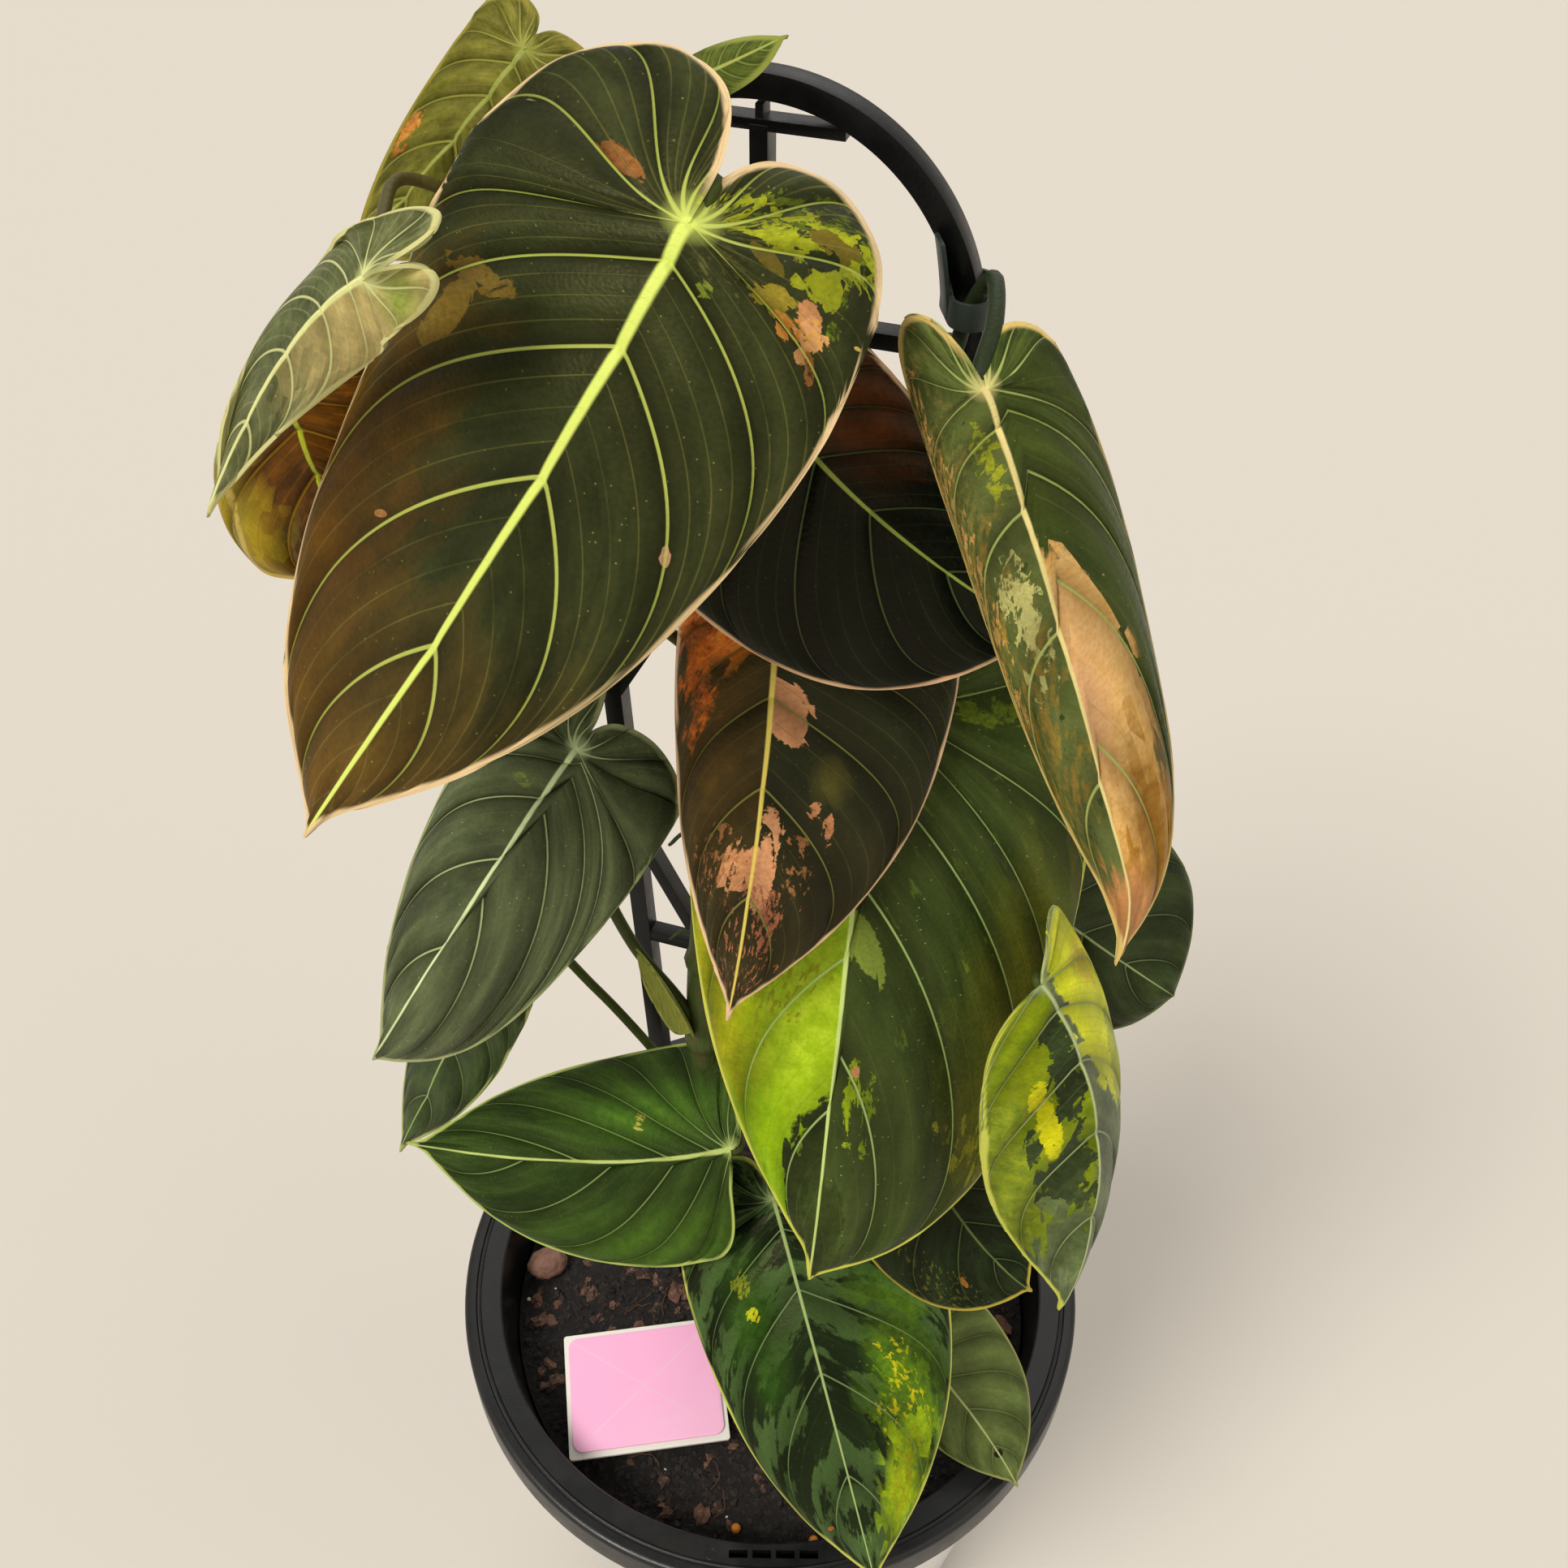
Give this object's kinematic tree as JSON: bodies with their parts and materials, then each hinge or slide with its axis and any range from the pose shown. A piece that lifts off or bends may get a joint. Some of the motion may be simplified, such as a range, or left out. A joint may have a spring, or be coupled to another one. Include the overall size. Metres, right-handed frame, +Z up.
{
  "type": "potted climbing philodendron on a trellis",
  "caption": "Climbing foliage plant with heart-shaped variegated leaves, tied to an arched plastic trellis in a nursery pot that hangs in a round cover pot.",
  "frame": {"origin": "middle of the cover pot's flat bottom, where the object rests", "axes": "+Z up along the trellis, -Y to the front, where the leaves face, +X to the right seen from the front"},
  "size_m": [0.2172, 0.2033, 0.5874],
  "materials": {
    "cover_pot": "glossy light grey with soft marbling",
    "nursery_pot": "moulded black, satin on the rim",
    "potting_mix": "damp bark and coir mix, rough",
    "stone": "weathered, matt",
    "trellis": "moulded black, satin",
    "stem": "smooth green to brown bark",
    "leaf_dark": "velvety, nearly black with pale veins",
    "leaf_half_cream": "velvety, dark green with cream and rust sectors",
    "leaf_half_lime": "velvety, half dark green and half lime",
    "leaf_green": "velvety dark green with pale veins",
    "leaf_young": "thin young leaf, golden to copper",
    "plant_tie": "flat dark green strap, matt",
    "tag": "white, smooth",
    "label": "pink paper label, bare"
  },
  "bodies": {
    "root": {"cover_pot": "cover_pot", "nursery_pot": "nursery_pot", "potting_mix": "potting_mix", "soil_stone": "stone", "trellis": "trellis", "main_stem": "stem", "leaf_crown": "leaf_dark", "leaf_right_long": "leaf_half_cream", "leaf_dark_behind": "leaf_dark", "leaf_bronze_centre": "leaf_dark", "leaf_large_halfmoon": "leaf_half_lime", "leaf_left_mid": "leaf_green", "leaf_left_low": "leaf_green", "leaf_left_small": "leaf_green", "leaf_front_low": "leaf_green", "leaf_low_right_small": "leaf_green", "leaf_low_right_dark": "leaf_green", "leaf_right_variegated": "leaf_half_lime", "leaf_right_back": "leaf_green", "leaf_back_upper_left": "leaf_young", "leaf_copper": "leaf_young", "leaf_curly": "leaf_young", "leaf_top_small": "leaf_young", "plant_tie": "plant_tie", "plant_tag": "tag", "tag_label": "label"}
  },
  "joints": []
}
